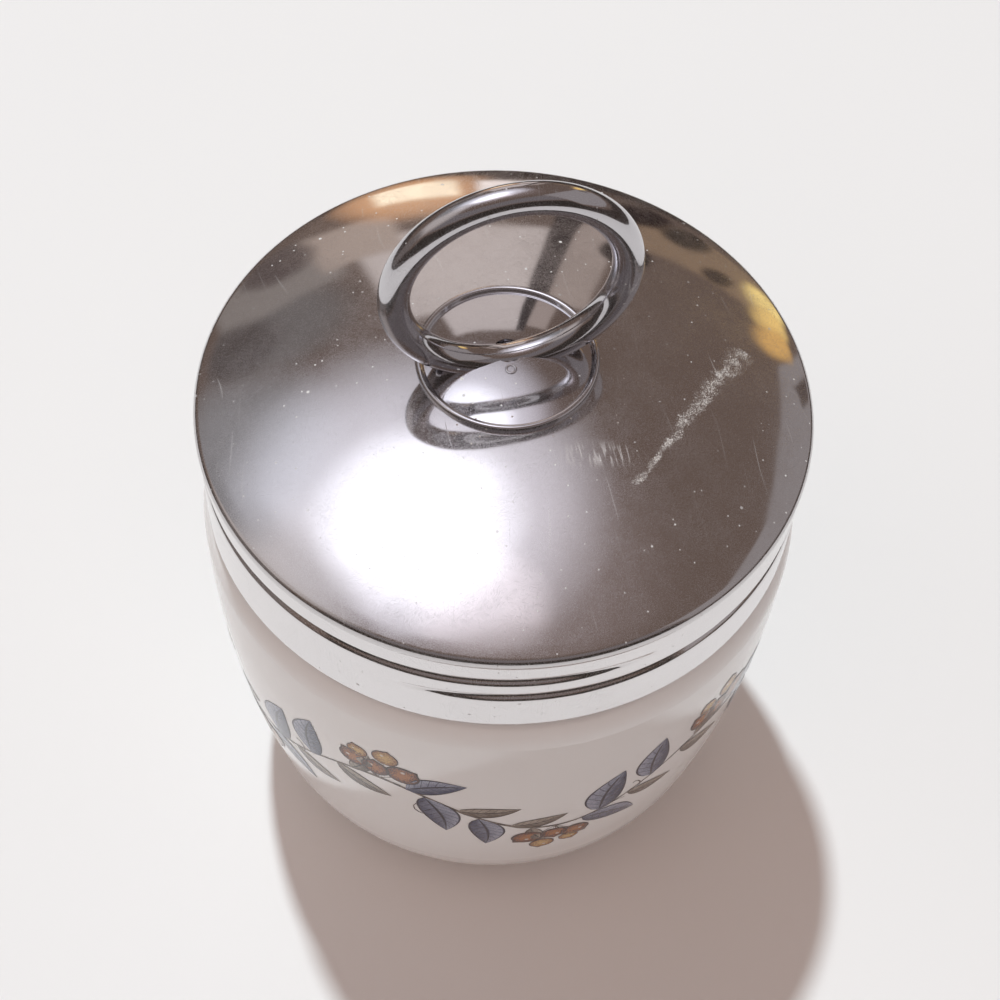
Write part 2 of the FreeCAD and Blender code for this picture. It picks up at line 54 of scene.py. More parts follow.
# %% [markdown]
# An operator acts on everything that is selected, and the frame arrives
# selected. So each piece starts from an empty selection. These small helpers
# do what the hand does in the window: let go of everything, pick points by
# where they lie, and finish a modifier.

# %% Helpers for picking things up
def let_go():
    if bpy.context.mode != "OBJECT":
        bpy.ops.object.mode_set(mode="OBJECT")
    bpy.ops.object.select_all(action="DESELECT")


def take_up(piece):
    let_go()
    piece.select_set(True)
    bpy.context.view_layer.objects.active = piece


def name_piece(name):
    piece = bpy.context.active_object
    piece.name = piece.data.name = name
    return piece


def edit_all(piece):
    """Opens the piece in edit mode with all of it selected."""
    take_up(piece)
    bpy.ops.object.mode_set(mode="EDIT")
    bpy.ops.mesh.select_all(action="SELECT")


def pick(piece, chosen):
    """Opens the piece in edit mode with only the chosen points selected."""
    take_up(piece)
    bpy.ops.object.mode_set(mode="EDIT")
    bpy.ops.mesh.select_mode(type="VERT")
    bpy.ops.mesh.select_all(action="DESELECT")
    bpy.ops.object.mode_set(mode="OBJECT")
    piece.data.vertices.foreach_set("select", np.asarray(chosen, bool))
    bpy.ops.object.mode_set(mode="EDIT")


print("pieces can be picked up and edited")

# %% Helpers for a mesh and its points
def points_of(piece):
    """The piece's points as rows of x, y, z."""
    co = np.empty(len(piece.data.vertices) * 3)
    piece.data.vertices.foreach_get("co", co)
    return co.reshape(-1, 3)


def set_points(piece, co):
    piece.data.vertices.foreach_set("co", np.asarray(co, float).ravel())
    piece.data.update()


def apply_modifiers(piece):
    take_up(piece)
    for modifier in list(piece.modifiers):
        bpy.ops.object.modifier_apply(modifier=modifier.name)


def face_outwards(piece, merge=0.002):
    """Merges doubled points, then turns every face outwards."""
    edit_all(piece)
    bpy.ops.mesh.remove_doubles(threshold=merge * MM)
    bpy.ops.mesh.normals_make_consistent(inside=False)
    bpy.ops.object.mode_set(mode="OBJECT")


def smooth(piece, angle=35):
    take_up(piece)
    bpy.ops.object.shade_smooth_by_angle(angle=math.radians(angle))


def triangles(piece):
    return sum(len(face.vertices) - 2 for face in piece.data.polygons)


print("points can be read, moved and merged")

# %% Helpers for copies
def place_copy(piece, across, up, turn=0.0, size=1.0, lift=0.0):
    """A copy with its own mesh, turned, sized and moved in the flat."""
    take_up(piece)
    bpy.ops.object.duplicate(linked=False)
    made = bpy.context.active_object
    made.rotation_euler[2] = math.radians(turn)
    made.scale = (size, size, 1)
    made.location = (across * MM, up * MM, lift * MM)
    bpy.ops.object.transform_apply(location=True, rotation=True, scale=True)
    return made


def join_pieces(pieces, name):
    take_up(pieces[0])
    for piece in pieces:
        piece.select_set(True)
    bpy.ops.object.join()
    return name_piece(name)


def put_away(pieces):
    """Deletes pattern pieces once their copies are made."""
    let_go()
    for piece in pieces:
        piece.select_set(True)
    bpy.ops.object.delete()


print("pieces can be copied and joined")

# %% [markdown]
# ## The lid's pressing
#
# The real lid is one sheet of metal. It is pressed to a shallow dome, its
# edge is beaded, and its skirt is rolled against a former that presses a
# round-bottomed groove into it: that groove is the screw thread. A plain
# revolved shape could take the dome and the bead, but not the thread, which
# climbs as it goes round. So the section is traced point by point with
# extrude, spun once round, and the thread is then rolled into the finished
# wall by moving its points inwards, as the roller does.

# %% The lid's section, from the shank hole out and back
EDGE = 61.73                      # height of the lid's edge; the section counts from there
DOME, SHEET = 80.0, 0.45          # radius of the dome, thickness of the metal
SKIRT, HEM = 30.75, -11.53        # outside of the skirt, and the level of its hem
BEAD, BEAD_MID = 0.95, 30.05      # roundness of the beaded edge, radius of its middle
HOLE = 1.45                       # radius of the hole for the ring's shank
WALL_TOP, WALL_ROWS = -0.72, 74   # where the upright wall starts, and rows down it
DROP = math.sqrt((DOME - BEAD) ** 2 - BEAD_MID ** 2)


def dome_at(radius, under=0.0):
    """Height of the dome over the edge plane at a radius."""
    return math.sqrt((DOME - under) ** 2 - radius ** 2) - DROP


def arc_points(middle, radius, first, last, count):
    """A count of points along an arc, from one angle to another."""
    turns = np.radians(np.linspace(first, last, count))
    return [(middle[0] + radius * math.cos(t), middle[1] + radius * math.sin(t))
            for t in turns]


bead_top = math.degrees(math.atan2(DROP, BEAD_MID))
bead_end = math.degrees(math.acos((SKIRT - BEAD_MID) / BEAD))
bead_r = BEAD_MID + BEAD * math.cos(math.radians(bead_top))
hem_round = SHEET / 2
wall_rows = np.linspace(WALL_TOP, HEM + hem_round, WALL_ROWS)
section = [(r, dome_at(r)) for r in np.linspace(HOLE, bead_r, 26)[:-1]]
section += arc_points((BEAD_MID, 0), BEAD, bead_top, -bead_end, 14)
section += [(SKIRT, z) for z in wall_rows]
section += arc_points((SKIRT - hem_round, HEM + hem_round), hem_round, -30, -150, 5)
section += [(SKIRT - SHEET, z) for z in wall_rows[::-1]]
section += arc_points((BEAD_MID, 0), BEAD - SHEET, -58, bead_top, 6)
section += [(r, dome_at(r, SHEET)) for r in np.linspace(bead_r - 0.3, HOLE, 22)[1:]]
print("lid section:", len(section), "points")

# %% Trace the section and spin it
def draw_line(points):
    """A chain of edges in edit mode: one point is placed, the others extruded."""
    let_go()
    bpy.ops.mesh.primitive_plane_add(size=MM)
    bpy.ops.object.mode_set(mode="EDIT")
    bpy.ops.mesh.merge(type="CENTER")
    here = (0.0, 0.0, 0.0)
    for n, point in enumerate(points):
        step = tuple((new - old) * MM for new, old in zip(point, here))
        if n == 0:
            bpy.ops.transform.translate(value=step)
        else:
            bpy.ops.mesh.extrude_region_move(TRANSFORM_OT_translate={"value": step})
        here = point
    bpy.ops.mesh.select_all(action="SELECT")


def spun(name, line, steps):
    """A closed line of radii and levels over the edge, spun once round."""
    draw_line([(r, 0.0, EDGE + z) for r, z in line + line[:1]])
    bpy.ops.object.mode_set(mode="OBJECT")
    piece = name_piece(name)
    edit_all(piece)
    bpy.ops.mesh.spin(steps=steps, angle=math.tau, center=(0, 0, 0), axis=(0, 0, 1))
    bpy.ops.object.mode_set(mode="OBJECT")
    face_outwards(piece)
    return piece


lid = spun("lid_pressing", section, 320)
print("lid pressing:", triangles(lid), "triangles")

# %% [markdown]
# ## The thread in the skirt
#
# The roller leaves a groove that climbs 2.8 mm in a turn, runs a little over
# one turn, and fades at both ends where the roller was let in and lifted off.
# Moving the points of the wall keeps the sheet one thickness: the inside
# bulges in where the outside is pressed.

# %% Roll the thread into the skirt
FRONT = math.radians(-105.7)               # bearing of the side where the thread ends
LEAD = 2.8                                 # rise of the thread in one turn
THREAD_START, THREAD_END = -12.0, 385.0    # degrees round from the front
THREAD_LOW = -6.23                         # middle of the groove at its start
GROOVE_HALF, GROOVE_DEPTH = 0.80, 0.52
RUN_OUT, RUN_ON = 24.0, 9.0                # degrees an end fades over, and runs on for
NARROWED = 0.45                            # share of the width left at an end
SKIRT_TOP, SKIRT_INSIDE = -0.7, 29.9       # the wall is below and outside these


def eased(share):
    """Goes from 0 to 1 with a soft start and a soft end."""
    share = np.clip(share, 0, 1)
    return share * share * (3 - 2 * share)


def groove(bearing, level):
    """How far the roller presses in, from 0 to 1, at a bearing and a level."""
    turned = np.degrees(bearing - FRONT) % 360
    pressed = np.zeros_like(level)
    for lap in (-360, 0, 360):
        along = turned + lap
        middle = THREAD_LOW + LEAD * (along - THREAD_START) / 360
        to_end = np.minimum(along - THREAD_START, THREAD_END - along) + RUN_ON
        ease = eased(to_end / RUN_OUT)
        away = np.abs(level - middle) / (GROOVE_HALF * (NARROWED + (1 - NARROWED) * ease))
        hollow = np.where(away < 1, 0.5 + 0.5 * np.cos(np.pi * away), 0)
        pressed = np.maximum(pressed, hollow * ease)
    return pressed


co = points_of(lid) / MM
reach = np.hypot(co[:, 0], co[:, 1])
wall = (co[:, 2] < EDGE + SKIRT_TOP) & (reach > SKIRT_INSIDE)
press = groove(np.arctan2(co[wall, 1], co[wall, 0]), co[wall, 2] - EDGE) * GROOVE_DEPTH
co[wall, :2] *= (1 - press / reach[wall])[:, None]
set_points(lid, co * MM)
smooth(lid, 40)
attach(lid, "lid")
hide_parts("lid_shell")
print("thread pressed %.2f mm deep at most" % press.max())

# %% [markdown]
# ## The collar
#
# The collar is a small turned washer: a rounded rim like a wire, and inside
# it a low domed middle that the ring's foot is set into. The rim is no
# thicker than seven tenths of a millimetre, so it needs more points than the
# middle does. It is traced and spun like the lid.

# %% Trace the collar and spin it
COLLAR, RIM_ROUND = 9.05, 0.36    # outside of the collar, roundness of its rim
RIM_LEVEL = 68.48 - EDGE          # middle of the rim
MIDDLE_TOP = 69.485 - EDGE        # highest point of the domed middle
MIDDLE_ARC = 33.0                 # radius of that dome
RIM_FOOT, RIM_GAP = 0.96, 0.12    # where the rim meets the middle
COLLAR_SEAT = 0.02                # between the collar and the lid's dome


def middle_at(radius):
    """Height of the collar's middle over the edge plane at a radius."""
    return MIDDLE_TOP - MIDDLE_ARC + math.sqrt(MIDDLE_ARC ** 2 - radius ** 2)


rim_mid = COLLAR - RIM_ROUND
middle_end = rim_mid - RIM_ROUND * RIM_FOOT - RIM_GAP
collar_line = [(r, middle_at(r)) for r in np.linspace(HOLE, middle_end, 18)]
collar_line += arc_points((rim_mid, RIM_LEVEL), RIM_ROUND, 172, 0, 12)
collar_line += [(COLLAR, dome_at(COLLAR) + COLLAR_SEAT)]
collar_line += [(r, dome_at(r) + COLLAR_SEAT) for r in np.linspace(COLLAR, HOLE, 8)[1:]]
collar = spun("turned_collar", collar_line, 160)
smooth(collar, 50)
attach(collar, "lid")
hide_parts("ring_collar")
rim_top = round(EDGE + RIM_LEVEL + RIM_ROUND, 2)
print("collar:", triangles(collar), "triangles, rim top at", rim_top, "mm")

# %% [markdown]
# ## The thread on the neck
#
# The porcelain neck carries one low ridge that the lid's groove hooks under.
# It is cast with the pot and glazed over, so its edges are soft. A helix is
# what the Screw modifier makes from a flat section, so a circle with few
# sides is squeezed to a low ridge, screwed round, and its two ends are let
# down into the neck so that the lid can find its start.

# %% Screw the ridge round the neck
NECK, RIDGE = 28.9, 1.1             # radius of the neck, how far the ridge stands out
RIDGE_HALF, RIDGE_ROUND = 0.55, 0.3  # half its height, and how flat its back is
RIDGE_TURN = 300                    # degrees that it runs round
let_go()
bpy.ops.mesh.primitive_circle_add(vertices=16, radius=MM, fill_type="NOTHING",
                                  rotation=(math.radians(90), 0, 0))
ridge = name_piece("neck_thread")
bpy.ops.object.transform_apply(location=True, rotation=True, scale=True)
co = points_of(ridge) / MM
co[:, 0] = NECK + co[:, 0] * RIDGE
turns_before = (math.degrees(FRONT) + THREAD_START) / 360
start_level = EDGE + THREAD_LOW + LEAD / 2 - LEAD * turns_before
co[:, 2] = start_level + RIDGE_HALF * co[:, 2] * np.abs(co[:, 2]) ** RIDGE_ROUND
set_points(ridge, co * MM)
screw = ridge.modifiers.new("turn", "SCREW")
screw.angle, screw.screw_offset = math.radians(RIDGE_TURN), LEAD * RIDGE_TURN / 360 * MM
screw.steps = screw.render_steps = 150
apply_modifiers(ridge)
print("ridge starts", round(float(start_level), 2), "mm up")

# %% Let the ends of the ridge down and close them
RIDGE_EASE = 14      # degrees over which an end is let down
SUNK = NECK - 0.3    # how deep it goes
co = points_of(ridge) / MM
bearing = np.degrees(np.arctan2(co[:, 1], co[:, 0])) % 360
bearing[bearing > 330] -= 360
ease = eased(np.minimum(bearing, RIDGE_TURN - bearing) / RIDGE_EASE)
reach = np.hypot(co[:, 0], co[:, 1])
lower = np.where(reach > SUNK, SUNK + (reach - SUNK) * ease, reach)
co[:, :2] *= (lower / reach)[:, None]
set_points(ridge, co * MM)
take_up(ridge)
bpy.ops.object.mode_set(mode="EDIT")
bpy.ops.mesh.select_all(action="DESELECT")
bpy.ops.mesh.select_non_manifold()
bpy.ops.mesh.fill()
bpy.ops.object.mode_set(mode="OBJECT")
face_outwards(ridge)
smooth(ridge)
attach(ridge, "cup")
print("neck thread:", triangles(ridge), "triangles")

# %% [markdown]
# ## Small node helpers
#
# A finish is a tree of nodes. Writing each one out in full hides what it
# does, so these helpers add a node, set its sockets and hand back its result.
# A socket is given a value or the output of another node.

# %% Helpers that add nodes
def add(tree, kind, sockets=None, **settings):
    node = tree.nodes.new(kind)
    for key, value in settings.items():
        setattr(node, key, value)
    for key, value in (sockets or {}).items():
        if isinstance(value, bpy.types.NodeSocket):
            tree.links.new(value, node.inputs[key])
        else:
            node.inputs[key].default_value = value
    return node


def maths(tree, operation, first, second=0.0):
    node = add(tree, "ShaderNodeMath", {0: first, 1: second}, operation=operation)
    return node.outputs[0]


def plus(tree, first, second):
    return maths(tree, "ADD", first, second)


def minus(tree, first, second):
    return maths(tree, "SUBTRACT", first, second)


def times(tree, first, second):
    return maths(tree, "MULTIPLY", first, second)


def most(tree, first, second):
    return maths(tree, "MAXIMUM", first, second)


def vectors(tree, operation, *given):
    """Sums on vectors. A length or a dot product is a number."""
    node = add(tree, "ShaderNodeVectorMath", dict(enumerate(given)), operation=operation)
    return node.outputs["Value" if operation in ("LENGTH", "DOT_PRODUCT") else "Vector"]


def parted(tree, vector):
    """The three parts of a vector."""
    return add(tree, "ShaderNodeSeparateXYZ", {0: vector}).outputs


print("nodes can be added and reckoned with")

# %% Helpers for masks, colours and materials
def ramp(tree, value, low, high, to_low=0.0, to_high=1.0):
    """Eases a value from one range to another."""
    sockets = {"Value": value, "From Min": low, "From Max": high,
               "To Min": to_low, "To Max": to_high}
    node = add(tree, "ShaderNodeMapRange", sockets, interpolation_type="SMOOTHSTEP")
    return node.outputs["Result"]


def mix_colour(tree, factor, first, second, blend="MIX"):
    sockets = {0: factor, 6: first, 7: second}
    return add(tree, "ShaderNodeMix", sockets, data_type="RGBA", blend_type=blend).outputs[2]


def bump(tree, height, strength, distance):
    sockets = {"Height": height, "Strength": strength, "Distance": distance}
    return add(tree, "ShaderNodeBump", sockets).outputs[0]


def material(name):
    """A new material with its tree and its Principled shader."""
    made = bpy.data.materials.new(name)
    made.use_nodes = True
    return made, made.node_tree, made.node_tree.nodes["Principled BSDF"]


def feed(tree, target, values):
    """Joins outputs to the named sockets of a node."""
    for name, value in values.items():
        tree.links.new(value, target.inputs[name])


def wear_finish(piece, made):
    piece.data.materials.clear()
    piece.data.materials.append(made)


print("materials can be built and worn")

# %% [markdown]
# ## Years of polishing, as a shared effect
#
# Every metal piece here has been wiped for years. Between scratches too fine
# to see, the plating is still a mirror, so the eye gets a sharp image and a
# soft haze at once. One roughness can't give both. Here the haze is a very
# fine pattern, some hundredths of a millimetre across: each grain is either
# polished or scuffed, and the share of scuffed grains says how hazy it looks.
# Specks of dust and single scratches lie over it. The effect is one node
# group, and each metal decides how much of it to take.

# %% Helpers for patterns
def socket(group, name, direction, kind="NodeSocketFloat", value=None):
    made = group.interface.new_socket(name=name, in_out=direction, socket_type=kind)
    if value is not None:
        made.default_value = value


def noise(tree, vector, scale, detail=2.0, rough=0.5, stretch=None):
    if stretch:
        vector = add(tree, "ShaderNodeMapping", {"Vector": vector, **stretch}).outputs[0]
    sockets = {"Vector": vector, "Scale": scale, "Detail": detail, "Roughness": rough}
    return add(tree, "ShaderNodeTexNoise", sockets).outputs["Fac"]


def scattered(tree, vector, scale, size, share):
    """Dots of a size, in cells of a scale, in only a share of the cells."""
    cells = add(tree, "ShaderNodeTexVoronoi", {"Vector": vector, "Scale": scale})
    dot = ramp(tree, cells.outputs["Distance"], size * 0.6, size, 1.0, 0.0)
    chance = add(tree, "ShaderNodeSeparateColor", {0: cells.outputs["Color"]}).outputs[0]
    return times(tree, dot, ramp(tree, chance, 1 - share, 1.01 - share))


print("pattern helpers are ready")

# %% The polish group
polish = bpy.data.node_groups.new("polish_marks", "ShaderNodeTree")
socket(polish, "Coordinates", "INPUT", "NodeSocketVector")
socket(polish, "Wiped", "INPUT", value=0.5)
for out in ("Haze", "Specks", "Scratches", "Waves"):
    socket(polish, out, "OUTPUT")
given = polish.nodes.new("NodeGroupInput")
place, wiped = given.outputs["Coordinates"], given.outputs["Wiped"]

# haze: fine grains, and more of them scuffed where a cloud or a smear lies
cloud = ramp(polish, noise(polish, place, 48, 3), 0.36, 0.64, -0.03, 0.03)
smear = ramp(polish, noise(polish, place, 210, 4, 0.7), 0.34, 0.66, -0.05, 0.05)
bar = minus(polish, plus(polish, 0.66, plus(polish, cloud, smear)), times(polish, wiped, 0.22))
grains = noise(polish, place, 26000, 0)
haze = ramp(polish, minus(polish, grains, bar), -0.02, 0.02)

# specks of dust, in crowds
crowd = ramp(polish, noise(polish, place, 70, 2), 0.38, 0.60, 0.3, 1.0)
specks = most(polish, scattered(polish, place, 1100, 0.13, 0.35),
              scattered(polish, place, 420, 0.09, 0.25))
specks = times(polish, specks, crowd)

# single scratches: stretched noise in three directions, on bent coordinates
SWING = 12 * MM
bend = add(polish, "ShaderNodeTexNoise", {"Vector": place, "Scale": 40, "Detail": 1.0})
bent = vectors(polish, "MULTIPLY_ADD", bend.outputs["Color"], (SWING, SWING, SWING), place)
lines = 0.0
for turn, wide in ((0.4, 3600), (1.35, 5200), (2.5, 4000)):
    drawn = noise(polish, bent, 1.0, 1, stretch={"Rotation": (0, 0, turn), "Scale": (wide, 70, 70)})
    lines = most(polish, lines, ramp(polish, drawn, 0.745, 0.81))
lines = times(polish, lines, ramp(polish, wiped, 0.0, 0.28, 0.15, 1.0))

feed(polish, polish.nodes.new("NodeGroupOutput"), {
    "Haze": haze, "Specks": specks, "Scratches": lines, "Waves": noise(polish, place, 95, 2)})
print("polish group:", len(polish.nodes), "nodes")

# %% [markdown]
# ## Plated metal
#
# The lid, the collar and the ring are the same bright plate over a base
# metal. The dome is wiped most, so it is the haziest. The skirt is touched
# least and mirrors the table. The ring and its collar lie between the two.
# The burr inside the lid was never polished. Dust and scratches are paler
# and duller than the plate, and less of a metal.

# %% Plated metal, with its own share of haze
DUST = (0.80, 0.79, 0.77, 1)
SCRATCH_SHARE = 0.3    # how much a scratch counts, against a speck of dust
DULLED = 0.8           # how much of the gloss and the metal the dust takes


def plated(name, colour, clean, hazed, wiped, wave=0.02):
    """A plated metal; hands back its tree and the values to build on."""
    made, tree, shader = material(name)
    place = add(tree, "ShaderNodeTexCoord").outputs["Object"]
    marks = add(tree, "ShaderNodeGroup", {}, node_tree=polish)
    tree.links.new(place, marks.inputs["Coordinates"])
    marks.inputs["Wiped"].default_value = wiped
    haze, specks, scratches, waves = (
        marks.outputs[out] for out in ("Haze", "Specks", "Scratches", "Waves"))
    dust = most(tree, specks, times(tree, scratches, SCRATCH_SHARE))
    rough = ramp(tree, haze, 0, 1, clean, hazed)
    rough = most(tree, rough, times(tree, dust, DULLED))
    tone = mix_colour(tree, dust, colour, DUST)
    bare = minus(tree, 1.0, times(tree, dust, DULLED))
    feed(tree, shader, {"Metallic": bare, "Base Color": tone, "Roughness": rough,
                        "Normal": bump(tree, waves, 1.0, wave * MM)})
    return {"made": made, "tree": tree, "shader": shader, "place": place, "marks": marks,
            "rough": rough, "tone": tone, "bare": bare}


ring_metal = plated("ring_plate", (0.60, 0.59, 0.61, 1), 0.07, 0.30, 0.12, 0.05)
wear_finish(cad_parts["lifting_ring"], ring_metal["made"])
wear_finish(collar, ring_metal["made"])
burr_metal = plated("burr_plate", (0.50, 0.49, 0.48, 1), 0.22, 0.5, 0.8)
wear_finish(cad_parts["shank_burr"], burr_metal["made"])
print("plated metals: ring, collar, burr")

# %% [markdown]
# ## The dome's own wear
#
# The lid's sheet has three stories to tell. The dome is hazed by wiping. A
# long dry scuff runs over it, where something rubbed through the shine and
# left a pale, grainy track, and a short hatched scrape lies beside it. The
# skirt is cleaner, with a few pinholes in its plating near the hem. A Mapping
# node lays a small flat field over a mark, with X along it and Y across, so
# its track is easy to write down.

# %% Dome and skirt in one material
DOME_WIPED, SKIRT_WIPED = 0.28, 0.04
lid_plate = plated("dome_plate", (0.63, 0.615, 0.62, 1), 0.06, 0.36, DOME_WIPED, 0.03)
tree, shader, place = lid_plate["tree"], lid_plate["shader"], lid_plate["place"]
level = parted(tree, place)[2]
skirt = ramp(tree, level, (EDGE - 0.9) * MM, (EDGE - 0.1) * MM, 1.0, 0.0)
share = ramp(tree, skirt, 0, 1, DOME_WIPED, SKIRT_WIPED)
tree.links.new(share, lid_plate["marks"].inputs["Wiped"])


def field(tree, place, middle, turn):
    """A flat field with its own X and Y, laid over a mark on the dome."""
    at = vectors(tree, "ADD", place, tuple(-v * MM for v in middle))
    turned = {"Vector": at, "Rotation": (0, 0, math.radians(-turn))}
    flat = parted(tree, add(tree, "ShaderNodeMapping", turned).outputs[0])
    return flat[0], flat[1]


def inside(tree, value, half, soft):
    """1 within half a width of the middle, easing to 0 over a soft edge."""
    size = maths(tree, "ABSOLUTE", value)
    return ramp(tree, size, (half - soft) * MM, half * MM, 1.0, 0.0)


print("the skirt takes", SKIRT_WIPED, "of the wiping, the dome", DOME_WIPED)

# %% The scuff: a wandering track, broken up into grit
SCUFF_FROM, SCUFF_TO = (8.39, -16.40), (24.47, -0.95)
WANDER = 2.2                    # how far the track swings from side to side
SCUFF_HALF, SCUFF_SOFT = 1.25, 1.1
NARROW, WIDE = 1.9, 0.55        # the track is squeezed at its start, spread at its end
run = math.hypot(SCUFF_TO[0] - SCUFF_FROM[0], SCUFF_TO[1] - SCUFF_FROM[1])
bearing = math.degrees(math.atan2(SCUFF_TO[1] - SCUFF_FROM[1], SCUFF_TO[0] - SCUFF_FROM[0]))
middle = ((SCUFF_FROM[0] + SCUFF_TO[0]) / 2, (SCUFF_FROM[1] + SCUFF_TO[1]) / 2, 0)
along, across = field(tree, place, middle, bearing)
swing = minus(tree, noise(tree, place, 240, 2), 0.5)
across = plus(tree, across, times(tree, swing, WANDER * MM))
squeeze = ramp(tree, along, -run / 2 * MM, run / 2 * MM, NARROW, WIDE)
body = times(tree, inside(tree, along, run / 2 + 0.4, 1.4),
             inside(tree, times(tree, across, squeeze), SCUFF_HALF, SCUFF_SOFT))
grit = plus(tree, times(tree, noise(tree, place, 11000, 1), 0.65),
            times(tree, noise(tree, place, 1100, 3), 0.35))
scuff = ramp(tree, plus(tree, grit, times(tree, body, 0.17)), 0.65, 0.75)
scuff = times(tree, scuff, ramp(tree, body, 0.02, 0.3))
print("scuff is %.1f mm long" % run)

# %% The hatched scrape and the pinholes over the hem
SCRAPE_AT, SCRAPE_TURN = (6.2, -12.4, 0), -8
along, across = field(tree, place, SCRAPE_AT, SCRAPE_TURN)
patch = times(tree, inside(tree, along, 4.5, 2.5), inside(tree, across, 1.8, 1.4))
hatch = noise(tree, place, 1.0, 1, stretch={"Rotation": (0, 0, 0.5), "Scale": (3600, 420, 420)})
scrape = times(tree, patch, ramp(tree, hatch, 0.50, 0.62))

low = ramp(tree, level, (EDGE - 10.6) * MM, (EDGE - 8.2) * MM, 1.0, 0.0)
crowd = ramp(tree, noise(tree, place, 90, 2), 0.52, 0.66)
pits = times(tree, scattered(tree, place, 1500, 0.16, 0.10), crowd)
pits = times(tree, pits, times(tree, low, skirt))
print("scrape and pinholes are masked")

# %% Lay the marks over the plate
SKIRT_TONE, WORN_TONE = (0.76, 0.745, 0.75, 1), (0.80, 0.77, 0.73, 1)
PIT_TONE = (0.03, 0.025, 0.02, 1)
worn = most(tree, scuff, times(tree, scrape, 0.45))
tone = mix_colour(tree, skirt, lid_plate["tone"], SKIRT_TONE)
tone = mix_colour(tree, worn, tone, WORN_TONE)
tone = mix_colour(tree, pits, tone, PIT_TONE)
rough = most(tree, lid_plate["rough"], times(tree, worn, 0.7))
bare = times(tree, lid_plate["bare"], minus(tree, 1.0, times(tree, worn, 0.6)))
feed(tree, shader, {"Metallic": bare, "Base Color": tone, "Roughness": rough})
wear_finish(lid, lid_plate["made"])
print("dome plate:", len(tree.nodes), "nodes")

# %% [markdown]
# ## The pip on the collar
#
# In front of the ring's foot the collar carries a small raised ring of
# metal, about a millimetre across, left by the tool that held it while the
# shank was peened. A torus is the nearest start. It is flattened, and laid
# on the slope of the domed middle.

# %% A flattened torus, laid on the slope
PIP_AT, PIP_RADIUS, PIP_WIRE = (-0.20, -2.27), 0.46, 0.13
FLATTENED = 0.7
let_go()
bpy.ops.mesh.primitive_torus_add(major_segments=36, minor_segments=12,
                                 major_radius=PIP_RADIUS * MM, minor_radius=PIP_WIRE * MM,
                                 location=(0, 0, 0))
pip = name_piece("collar_pip")
pick(pip, np.ones(len(pip.data.vertices)))
bpy.ops.transform.resize(value=(1, 1, FLATTENED), center_override=(0, 0, 0))
bpy.ops.object.mode_set(mode="OBJECT")
away = math.hypot(*PIP_AT)
pip.rotation_euler[0] = math.asin(away / MIDDLE_ARC)
pip.location = (PIP_AT[0] * MM, PIP_AT[1] * MM, (EDGE + middle_at(away)) * MM)
bpy.ops.object.transform_apply(location=True, rotation=True, scale=True)
smooth(pip)
wear_finish(pip, ring_metal["made"])
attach(pip, "lid")
print("pip lies %.2f mm in front of the middle" % away)

# %% [markdown]
# ## Glazed porcelain
#
# White porcelain under a clear glaze. The body is faintly warm, and the
# glaze is glass: sharp reflections, with a slow unevenness where it ran. The
# foot is wiped clean of glaze before firing, so that the pot doesn't stick
# to the shelf, and it stays matt. A few iron specks in the clay show through.

# %% Porcelain for the cup and its thread
WHITE, WARMER = (0.92, 0.897, 0.883, 1), (0.89, 0.862, 0.845, 1)
BARE_CLAY, IRON = (0.70, 0.66, 0.61, 1), (0.22, 0.17, 0.13, 1)
GLOSSY, MATT = 0.06, 0.75
glaze, tree, shader = material("porcelain_glaze")
place = add(tree, "ShaderNodeTexCoord").outputs["Object"]
foot = ramp(tree, parted(tree, place)[2], 0.15 * MM, 0.45 * MM, 1.0, 0.0)
body = mix_colour(tree, noise(tree, place, 60, 3), WARMER, WHITE)
body = mix_colour(tree, foot, body, BARE_CLAY)
specks = times(tree, scattered(tree, place, 160, 0.022, 0.08), 0.6)
body = mix_colour(tree, specks, body, IRON)
feed(tree, shader, {"Base Color": body, "Roughness": ramp(tree, foot, 0, 1, GLOSSY, MATT),
                    "Normal": bump(tree, noise(tree, place, 140, 2), 0.2, 0.05 * MM)})
wear_finish(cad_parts["porcelain_cup"], glaze)
wear_finish(ridge, glaze)
print("porcelain on the cup and its thread")

# %% [markdown]
# ## The inks of the transfer
#
# The decoration is a transfer: it is printed flat in ceramic inks, slid on to
# the glazed pot and fired on. Each colour is printed as fine dots inside a
# darker line. The leaf's own map gives the line: U runs from stalk to tip
# and V from side to side, so its edge, midrib and veins are short sums. Both
# leaf inks use them, so they are one node group.

# %% The group for a printed leaf
leaf_print = bpy.data.node_groups.new("printed_leaf", "ShaderNodeTree")
socket(leaf_print, "Map", "INPUT", "NodeSocketVector")
socket(leaf_print, "Coordinates", "INPUT", "NodeSocketVector")
for out in ("Line", "Tone", "Dots"):
    socket(leaf_print, out, "OUTPUT")
given = leaf_print.nodes.new("NodeGroupInput")
place = given.outputs["Coordinates"]
split = parted(leaf_print, given.outputs["Map"])
along, side = split[0], split[1]
off_middle = maths(leaf_print, "ABSOLUTE", minus(leaf_print, side, 0.5))
off_middle = times(leaf_print, off_middle, 2.0)
edge = ramp(leaf_print, off_middle, 0.84, 0.93)
midrib = ramp(leaf_print, off_middle, 0.05, 0.12, 1.0, 0.0)
wave = times(leaf_print, minus(leaf_print, along, times(leaf_print, off_middle, 0.17)), 50.0)
veins = ramp(leaf_print, maths(leaf_print, "SINE", wave), 0.86, 0.97, 0.0, 0.6)
line = most(leaf_print, most(leaf_print, edge, midrib), veins)
mottle = times(leaf_print, noise(leaf_print, place, 900, 2), 0.55)
tone = ramp(leaf_print, plus(leaf_print, times(leaf_print, side, 0.75), mottle), 0.25, 1.05)
dots = ramp(leaf_print, noise(leaf_print, place, 6500, 1), 0.45, 0.60)
